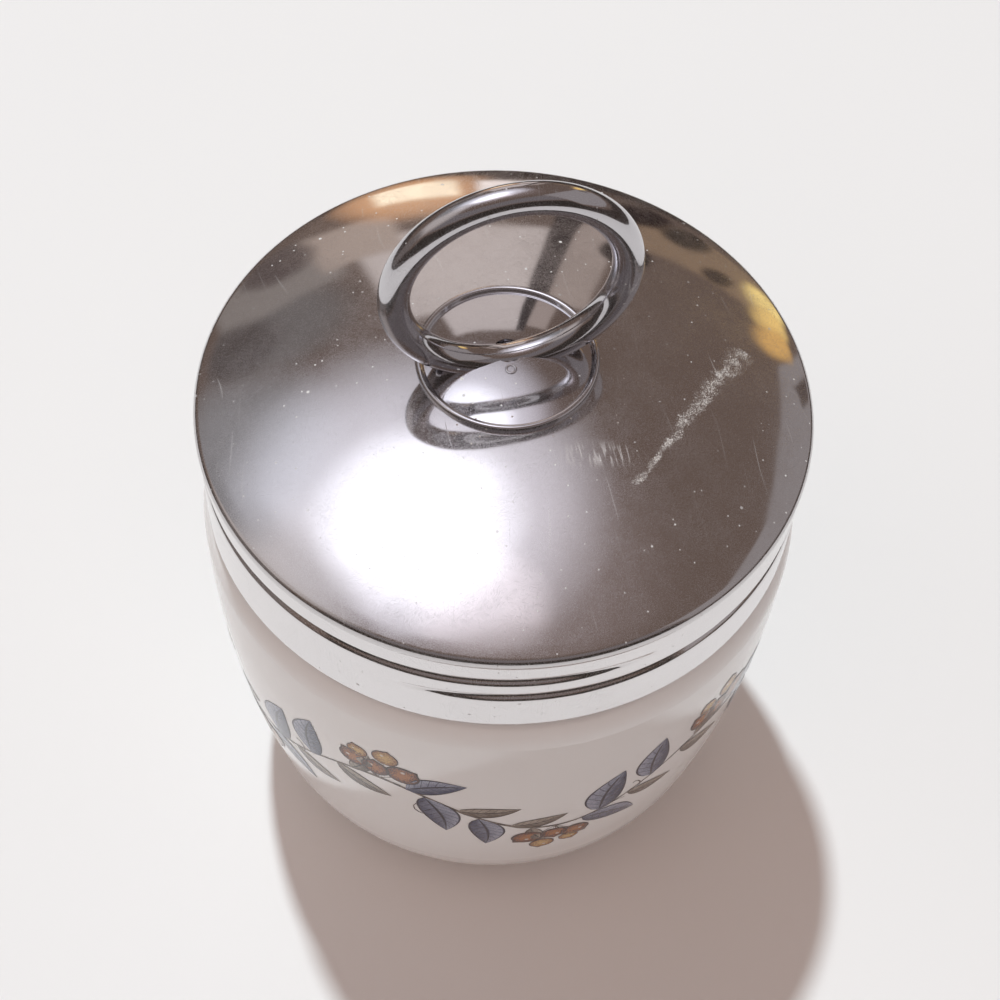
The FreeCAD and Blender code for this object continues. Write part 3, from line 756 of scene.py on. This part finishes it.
feed(leaf_print, leaf_print.nodes.new("NodeGroupOutput"),
     {"Line": line, "Tone": tone, "Dots": dots})
print("printed leaf:", len(leaf_print.nodes), "nodes")

# %% Inks for leaves
INK_GLOSS = 0.16    # roughness of fired ink, a little duller than the glaze


def leaf_ink(name, pale, deep, line):
    made, tree, shader = material(name)
    places = add(tree, "ShaderNodeTexCoord")
    marks = add(tree, "ShaderNodeGroup", {}, node_tree=leaf_print)
    feed(tree, marks, {"Map": places.outputs["UV"], "Coordinates": places.outputs["Object"]})
    colour = mix_colour(tree, marks.outputs["Tone"], deep, pale)
    colour = mix_colour(tree, times(tree, marks.outputs["Dots"], 0.35), colour, deep)
    colour = mix_colour(tree, marks.outputs["Line"], colour, line)
    feed(tree, shader, {"Base Color": colour})
    shader.inputs["Roughness"].default_value = INK_GLOSS
    return made


slate_ink = leaf_ink("slate_ink", pale=(0.40, 0.42, 0.52, 1),
                     deep=(0.055, 0.065, 0.12, 1), line=(0.02, 0.022, 0.045, 1))
umber_ink = leaf_ink("umber_ink", pale=(0.44, 0.38, 0.32, 1),
                     deep=(0.12, 0.09, 0.07, 1), line=(0.04, 0.03, 0.025, 1))
print("leaf inks: slate, umber")

# %% Inks for berries and stalks
GLINT = (0.80, 0.76, 0.70, 1)


def berry_ink(name, pale, deep, line):
    """Pale in the middle, deep at the rim, with a glint left white."""
    made, tree, shader = material(name)
    places = add(tree, "ShaderNodeTexCoord")
    centred = vectors(tree, "ADD", places.outputs["UV"], (-0.5, -0.5, 0))
    out = vectors(tree, "LENGTH", centred)
    off_glint = vectors(tree, "LENGTH", vectors(tree, "ADD", centred, (0.13, -0.14, 0)))
    glint = ramp(tree, off_glint, 0.03, 0.09, 1.0, 0.0)
    dots = noise(tree, places.outputs["Object"], 5200, 1)
    dots = ramp(tree, dots, 0.42, 0.62, -0.12, 0.12)
    colour = mix_colour(tree, ramp(tree, plus(tree, out, dots), 0.10, 0.42), pale, deep)
    colour = mix_colour(tree, ramp(tree, out, 0.43, 0.47), colour, line)
    colour = mix_colour(tree, times(tree, glint, 0.75), colour, GLINT)
    feed(tree, shader, {"Base Color": colour})
    shader.inputs["Roughness"].default_value = INK_GLOSS
    return made


rust_ink = berry_ink("rust_ink", pale=(0.42, 0.17, 0.06, 1),
                     deep=(0.11, 0.035, 0.025, 1), line=(0.035, 0.02, 0.02, 1))
ochre_ink = berry_ink("ochre_ink", pale=(0.62, 0.40, 0.15, 1),
                      deep=(0.28, 0.12, 0.045, 1), line=(0.07, 0.035, 0.025, 1))
stalk_ink, tree, shader = material("stalk_ink")
place = add(tree, "ShaderNodeTexCoord").outputs["Object"]
faded = ramp(tree, noise(tree, place, 1400, 2), 0.4, 0.62)
colour = mix_colour(tree, faded, (0.075, 0.06, 0.055, 1), (0.24, 0.20, 0.17, 1))
feed(tree, shader, {"Base Color": colour})
shader.inputs["Roughness"].default_value = INK_GLOSS
print("inks: rust, ochre, stalk")

# %% [markdown]
# ## One leaf, one berry, one stalk
#
# Painting a whole garland with nodes would need a mask for each leaf. Cut
# from a thin sheet instead, two leaves, two berries and a tendril are enough,
# and the rest are copies. They are drawn flat, with X round the pot and Y up
# it. A leaf starts as a grid: its rows are picked one after another, drawn in
# to the leaf's outline, and moved sideways so that the midrib bends.

# %% Cut a leaf
LEAF_ROWS = 12
TIP_WIDTH = 0.015    # the narrowest a leaf gets, as a share of its width


def leaf(name, long, wide, bend, ink):
    let_go()
    bpy.ops.mesh.primitive_grid_add(x_subdivisions=LEAF_ROWS, y_subdivisions=4, size=long * MM)
    piece = name_piece(name)
    start = points_of(piece)[:, 0]
    for n in range(LEAF_ROWS + 1):
        along = n / LEAF_ROWS
        here = -long / 2 + long * along
        outline = wide / long * max(TIP_WIDTH, math.sin(math.pi * along ** 0.78) ** 0.85)
        sideways = bend * math.sin(math.pi * along * 0.9)
        pick(piece, np.abs(start - here * MM) < 0.01 * MM)
        bpy.ops.transform.resize(value=(1, outline, 1), center_override=(here * MM, 0, 0))
        bpy.ops.transform.translate(value=(long / 2 * MM, sideways * MM, 0))
        bpy.ops.object.mode_set(mode="OBJECT")
    wear_finish(piece, ink)
    return piece


slate_leaf = leaf("slate_leaf", 8.6, 4.1, 0.8, slate_ink)
umber_leaf = leaf("umber_leaf", 6.2, 2.5, -0.5, umber_ink)
print("leaves:", slate_leaf.name, umber_leaf.name)

# %% Cut a berry, and a stalk from a traced line
def berry(name, wide, ink):
    """A disc with a small point on top, where the flower was."""
    let_go()
    bpy.ops.mesh.primitive_circle_add(vertices=20, radius=wide / 2 * MM, fill_type="TRIFAN")
    piece = name_piece(name)
    top = points_of(piece)[:, 1]
    pick(piece, top > wide * 0.49 * MM)
    bpy.ops.transform.translate(value=(0, wide * 0.10 * MM, 0))
    bpy.ops.object.mode_set(mode="OBJECT")
    wear_finish(piece, ink)
    return piece


def stalk(name, line, wide):
    """A line of points traced with extrude, then extruded sideways to a strip."""
    draw_line([(x, y, 0.0) for x, y in line])
    sideways = (0.35 * wide * MM, wide * MM, 0)
    bpy.ops.mesh.extrude_region_move(TRANSFORM_OT_translate={"value": sideways})
    bpy.ops.mesh.select_all(action="SELECT")
    bpy.ops.mesh.normals_make_consistent(inside=False)
    bpy.ops.object.mode_set(mode="OBJECT")
    piece = name_piece(name)
    wear_finish(piece, stalk_ink)
    return piece


def curl_at(step):
    """A point on a tendril's curl, which tightens as it goes."""
    reach, turn = 1.9 * (1 - 0.1 * step), 0.62 * step
    return reach * math.sin(turn), 2.0 - reach * math.cos(turn) + 0.25 * step


rust_berry = berry("rust_berry", 3.7, rust_ink)
ochre_berry = berry("ochre_berry", 2.8, ochre_ink)
tendril = stalk("tendril", [curl_at(step) for step in range(9)], 0.16)
patterns = [slate_leaf, umber_leaf, rust_berry, ochre_berry, tendril]
print("patterns:", ", ".join(piece.name for piece in patterns))

# %% [markdown]
# ## Lay out one repeat of the garland
#
# A waving stalk carries leaves on both sides and a cluster of berries at
# each crest and each trough. One repeat is laid out in the flat. Later
# colours are lifted about a hundredth of a millimetre, as inks are that are
# printed one over another.

# %% The plan of one repeat
REPEATS, WRAP = 5, 30.5             # repeats round the pot, radius they are measured on
STEP = math.tau * WRAP / REPEATS
GARLAND_LEVEL, SWAY = 29.5, 4.6     # height of the stalk, and how far it waves
LEAF_LEAN = 48                      # degrees a leaf leans out from the stalk
TENDRIL_LIFT, LEAF_LIFT, BERRY_LIFT = 0.003, 0.006, 0.012
LEAVES = (                          # share of the repeat, side, pattern, size
    (0.03, 1, slate_leaf, 1.0), (0.12, -1, umber_leaf, 1.1), (0.17, 1, umber_leaf, 0.9),
    (0.33, 1, slate_leaf, 0.85), (0.38, -1, slate_leaf, 1.05), (0.47, 1, umber_leaf, 1.1),
    (0.53, -1, slate_leaf, 0.95), (0.62, 1, umber_leaf, 1.05), (0.68, -1, umber_leaf, 0.85),
    (0.83, -1, slate_leaf, 0.9), (0.88, 1, slate_leaf, 1.1), (0.96, -1, umber_leaf, 1.0))
CLUSTER = (                         # reach from the stalk, lean, pattern, size
    (3.9, -46, rust_berry, 1.0), (5.6, -10, ochre_berry, 1.05), (3.8, 44, rust_berry, 0.9),
    (2.4, 4, rust_berry, 0.85), (5.2, 24, ochre_berry, 0.85))


def stalk_at(across):
    return GARLAND_LEVEL + SWAY * math.sin(math.tau * across / STEP)


print(len(LEAVES), "leaves and", 2 * len(CLUSTER), "berries in a repeat")

# %% One repeat in the flat
wave_line = [(STEP * n / 48, stalk_at(STEP * n / 48)) for n in range(49)]
pieces = [stalk("stalk", wave_line, 0.42)]
for share, side, piece, size in LEAVES:
    across = STEP * share
    slope = math.degrees(math.atan2(stalk_at(across + 0.2) - stalk_at(across - 0.2), 0.4))
    turn = slope + side * LEAF_LEAN
    pieces.append(place_copy(piece, across, stalk_at(across), turn, size, LEAF_LIFT))
for share, side in ((0.25, 1), (0.75, -1)):
    foot_x, foot_y = STEP * share, stalk_at(STEP * share)
    for reach, lean, piece, size in CLUSTER:
        turn = math.radians(90 * side + lean)
        tip = (foot_x + reach * math.cos(turn), foot_y + reach * math.sin(turn))
        halfway = ((foot_x + tip[0]) / 2 + 0.2, (foot_y + tip[1]) / 2)
        pieces.append(stalk("berry_stalk", [(foot_x, foot_y), halfway, tip], 0.2))
        pieces.append(place_copy(piece, *tip, 90 * side - 90 + lean, size, BERRY_LIFT))
for share, turn in ((0.42, 150), (0.92, -35)):
    across = STEP * share
    pieces.append(place_copy(tendril, across, stalk_at(across), turn, 1.0, TENDRIL_LIFT))
repeat = join_pieces(pieces, "repeat")
put_away(patterns)
print("one repeat:", triangles(repeat), "triangles,", round(STEP, 2), "mm long")

# %% [markdown]
# ## Wrap the garland round the pot
#
# The repeat is copied round, and then every point moves from the flat to the
# pot: X becomes a bearing, Y stays the height, and the small lift is added to
# the radius of the pot's side at that height. The side is an arc with a long
# radius, so its radius is a short formula.

# %% Copy the repeat, join and wrap it
BELLY, BELLY_LEVEL, SIDE_ARC = 31.3, 45.9, 163.0
PRINT_LIFT = 0.02    # keeps the print clear of the glaze
copies = [place_copy(repeat, STEP * n, 0) for n in range(1, REPEATS)]
garland = join_pieces([repeat] + copies, "printed_garland")
co = points_of(garland) / MM
across, up, lift = co.T
side = BELLY - SIDE_ARC + np.sqrt(SIDE_ARC ** 2 - (up - BELLY_LEVEL) ** 2)
radius = side + PRINT_LIFT + lift
bearing = across / WRAP
wrapped = np.column_stack((radius * np.cos(bearing), radius * np.sin(bearing), up))
set_points(garland, wrapped * MM)
print("wrapped from", round(float(up.min()), 1), "to", round(float(up.max()), 1), "mm up")

# %% Turn its faces outwards
def turn_outwards(piece):
    """Flips the faces of an open sheet that look towards the pot's axis."""
    take_up(piece)
    middles = np.array([face.center[:2] for face in piece.data.polygons])
    normals = np.array([face.normal[:2] for face in piece.data.polygons])
    inward = (middles * normals).sum(axis=1) < 0
    bpy.ops.object.mode_set(mode="EDIT")
    bpy.ops.mesh.select_mode(type="FACE")
    bpy.ops.mesh.select_all(action="DESELECT")
    bpy.ops.object.mode_set(mode="OBJECT")
    piece.data.polygons.foreach_set("select", inward)
    bpy.ops.object.mode_set(mode="EDIT")
    bpy.ops.mesh.flip_normals()
    bpy.ops.mesh.select_mode(type="VERT")
    bpy.ops.object.mode_set(mode="OBJECT")
    return int(inward.sum())


turned = turn_outwards(garland)
smooth(garland)
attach(garland, "cup")
print("garland:", triangles(garland), "triangles,", turned, "faces turned")

# %% [markdown]
# ## The table
#
# The pot stands on a small pale top. It ends near enough that the polished
# ring mirrors its ends, and it is matt, so it keeps the pot's shadow.

# %% The table
TABLE_WIDE = 0.66
let_go()
bpy.ops.mesh.primitive_plane_add(size=TABLE_WIDE)
table = name_piece("table_top")
bpy.ops.object.mode_set(mode="EDIT")
bpy.ops.mesh.subdivide(number_cuts=3)
bpy.ops.object.mode_set(mode="OBJECT")
made, tree, shader = material("table_white")
place = add(tree, "ShaderNodeTexCoord").outputs["Object"]
patches = noise(tree, place, 9, 2)
tone = mix_colour(tree, patches, (0.80, 0.785, 0.775, 1), (0.82, 0.805, 0.795, 1))
feed(tree, shader, {"Base Color": tone})
shader.inputs["Roughness"].default_value = 0.55
wear_finish(table, made)
print("table is", table.dimensions.x, "m wide")

# %% [markdown]
# ## The lamps
#
# One small lamp stands high up beyond the pot and throws its shadow towards
# the near side. A broad, dim and warm one on the near side fills that shadow.
# Both are kept out of the mirror of the metal, which gets its own glow with
# the room, so that the shadow and the highlight can each be set on its own.

# %% Two lamps
def aim_at(bearing, rise):
    """The direction of a bearing and a height angle, both in degrees."""
    a, e = math.radians(bearing), math.radians(rise)
    return math.cos(a) * math.cos(e), math.sin(a) * math.cos(e), math.sin(e)


def lamp(name, bearing, rise, away, wide, power, colour):
    """A round soft lamp that looks at the pot from a bearing and a height angle."""
    light = bpy.data.lights.new(name, "AREA")
    light.shape, light.size, light.energy, light.color = "DISK", wide, power, colour
    made = bpy.data.objects.new(name, light)
    bpy.context.scene.collection.objects.link(made)
    back = Vector(aim_at(bearing, rise))
    made.location = Vector((0, 0, 0.05)) + back * away
    made.rotation_mode = "QUATERNION"
    made.rotation_quaternion = back.to_track_quat("Z", "Y")
    made.visible_glossy = False


lamp("key_lamp", 100.5, 68.8, 3.0, 0.14, 74.0, (0.84, 0.95, 1.0))
lamp("fill_lamp", -112, 60, 2.0, 2.0, 8.8, (1.0, 0.73, 0.63))
print("a key lamp and a broad fill, both kept out of the mirror of the metal")

# %% [markdown]
# ## The room
#
# Polished metal shows nothing of its own, so the room matters as much as the
# finish. It is a dim brown, painted on the sky round the pot, with a window
# to the left, a pale wall on the right that ends in a straight edge, and on
# the far side a lighter opening, dark furniture and two warm lights. Each is
# a patch, given by its bearing and its height angle in degrees. Their order
# counts, because a later patch lies over an earlier one.

# %% Measure every direction of the sky
world = bpy.data.worlds.new("room")
bpy.context.scene.world = world
world.use_nodes = True
tree = world.node_tree
way = add(tree, "ShaderNodeTexCoord").outputs["Generated"]
parts = parted(tree, way)
DEGREES = 180 / math.pi
sky_bearing = times(tree, maths(tree, "ARCTAN2", parts[1], parts[0]), DEGREES)
sky_rise = times(tree, maths(tree, "ARCSINE", parts[2]), DEGREES)


def toward(bearing, rise, inner, outer):
    """1 within an angle of a direction, easing to 0 at a wider angle."""
    near = vectors(tree, "DOT_PRODUCT", way, aim_at(bearing, rise))
    return ramp(tree, near, math.cos(math.radians(outer)), math.cos(math.radians(inner)))


def span(value, low, high, soft):
    """1 between two angles, easing to 0 over a soft edge."""
    up = ramp(tree, value, low - soft, low)
    return times(tree, up, ramp(tree, value, high, high + soft, 1.0, 0.0))


def pane(left, right, low, high, soft):
    """An upright pane between two bearings and two height angles."""
    return times(tree, span(sky_bearing, left, right, soft), span(sky_rise, low, high, soft))


print("sky is measured by bearing and height angle")

# %% Paint the room
UNDER_TABLE, WALLS = (0.06, 0.045, 0.04, 1), (0.18, 0.13, 0.108, 1)
CEILING = (0.32, 0.25, 0.235, 1)
BAR_LEAN = 0.078    # how far the dark bar leans to one side as it rises
room = mix_colour(tree, ramp(tree, sky_rise, 2, 7), UNDER_TABLE, WALLS)
room = mix_colour(tree, ramp(tree, sky_rise, 56, 80), room, CEILING)
right_wall = times(tree, toward(-33.4, -37.6, 89.6, 90.2), pane(-45, 34.5, 10, 62, 1.0))
leaning = minus(tree, sky_bearing, times(tree, sky_rise, BAR_LEAN))
dark_bar = times(tree, span(leaning, 65.8, 68.4, 0.5), span(sky_rise, 14, 41, 0.5))
for where, colour in (
        # the near side, paler above than below
        (pane(-155, -50, 26, 46, 5), (0.22, 0.195, 0.20)),
        (pane(-155, -50, -5, 17, 4), (0.05, 0.04, 0.035)),
        # the window to the left, and what lies round it
        (toward(172, 40, 10, 32), (0.62, 0.56, 0.54)),
        (toward(174, 6, 10, 22), (0.19, 0.16, 0.15)),
        (toward(136, 42, 6, 20), (0.32, 0.31, 0.32)),
        (toward(109, 30, 4, 12), (0.21, 0.19, 0.185)),
        # the wall on the right, and the lighter opening on the far side
        (right_wall, (0.37, 0.335, 0.335)),
        (pane(71, 93, 21, 40, 2.5), (0.78, 0.69, 0.66)),
        (pane(98, 113, 15, 25, 3), (0.34, 0.30, 0.28)),
        (pane(89, 98, 14.5, 23, 2), (0.58, 0.47, 0.41)),
        (pane(62.5, 68, 17, 38, 1), (0.50, 0.41, 0.37)),
        (pane(45, 60, 10, 18, 2), (0.36, 0.25, 0.17)),
        # dark furniture, the bar and a dark thing on the wall
        (toward(56, 11, 1.5, 3.5), (0.05, 0.04, 0.035)),
        (toward(50, 17, 1, 2.5), (0.08, 0.06, 0.05)),
        (toward(103, 16, 3, 6), (0.13, 0.10, 0.095)),
        (toward(116, 29, 3, 7), (0.12, 0.10, 0.095)),
        (toward(61.5, 9, 2, 4), (0.03, 0.02, 0.02)),
        (toward(60.5, 22, 2.5, 3.5), (0.03, 0.025, 0.025)),
        (dark_bar, (0.05, 0.04, 0.04)),
        (pane(27.5, 31, 19, 26, 0.7), (0.12, 0.09, 0.08)),
        # an orange light and a golden one, low down
        (toward(85, 8, 3, 10), (1.0, 0.56, 0.31)),
        (pane(72, 77.5, 6, 11, 1.5), (1.5, 1.35, 1.28)),
        (pane(81, 88, 5.5, 9.5, 1.5), (1.9, 1.6, 1.2)),
        (toward(43.5, 14, 1, 4.6), (1.6, 1.2, 0.45)),
        (toward(41, 18, 1, 4), (1.3, 0.88, 0.31)),
        (toward(38.3, 22, 0.5, 4), (1.05, 0.62, 0.21))):
    room = mix_colour(tree, where, room, (*colour, 1))
print("room:", len(tree.nodes), "nodes")

# %% [markdown]
# Three glows high up are what the dome mirrors as its highlight. They are
# added for mirrored rays alone, so that they don't light the table as well,
# and they are weaker where only the ring would mirror them. Past the table's
# ends the camera sees a plain pale backdrop.

# %% Add the glows and the backdrop
BACKDROP = (0.86, 0.84, 0.83, 1)
HELD_BACK = 0.6    # share of the glow that is taken away on the near side
mirrored = add(tree, "ShaderNodeLightPath").outputs["Is Glossy Ray"]
near_side = most(tree, toward(-170, 30, 35, 42), toward(-100, 40, 37, 43))
mirrored = times(tree, mirrored, minus(tree, 1.0, times(tree, near_side, HELD_BACK)))
for where, glow in (
        (toward(127, 72.5, 12, 34), (0.82, 0.84, 0.95)),
        (toward(132, 75, 6, 19), (1.1, 1.15, 1.25)),
        (toward(-120, 83, 3, 13), (0.55, 0.50, 0.53))):
    lit = mix_colour(tree, 1.0, room, (*glow, 1), "ADD")
    room = mix_colour(tree, times(tree, where, mirrored), room, lit)
seen = add(tree, "ShaderNodeLightPath").outputs["Is Camera Ray"]
room = mix_colour(tree, seen, room, BACKDROP)
feed(tree, tree.nodes["Background"], {"Color": room})
print("room with its glows:", len(tree.nodes), "nodes")

# %% [markdown]
# ## The camera
#
# The camera looks down on the pot from the near side through a longish lens,
# which keeps the lid's ellipse calm. The view transform is Standard, so that
# a colour shows about as it is written.

# %% The camera
CAMERA_AT = (-0.033042, -0.117558, 0.220964)
CAMERA_TURN = (34.5333, -2.0312, -12.822)
view = bpy.data.cameras.new("camera")
view.lens, view.sensor_width = 72.0, 36.0
view.clip_start, view.clip_end = 0.01, 20
camera = bpy.data.objects.new("camera", view)
bpy.context.scene.collection.objects.link(camera)
camera.location = CAMERA_AT
camera.rotation_euler = [math.radians(v) for v in CAMERA_TURN]
bpy.context.scene.camera = camera
bpy.context.scene.view_settings.view_transform = "Standard"
print("camera is %.0f mm from the lid" % (math.dist(CAMERA_AT, (0, 0, EDGE * MM)) / MM))
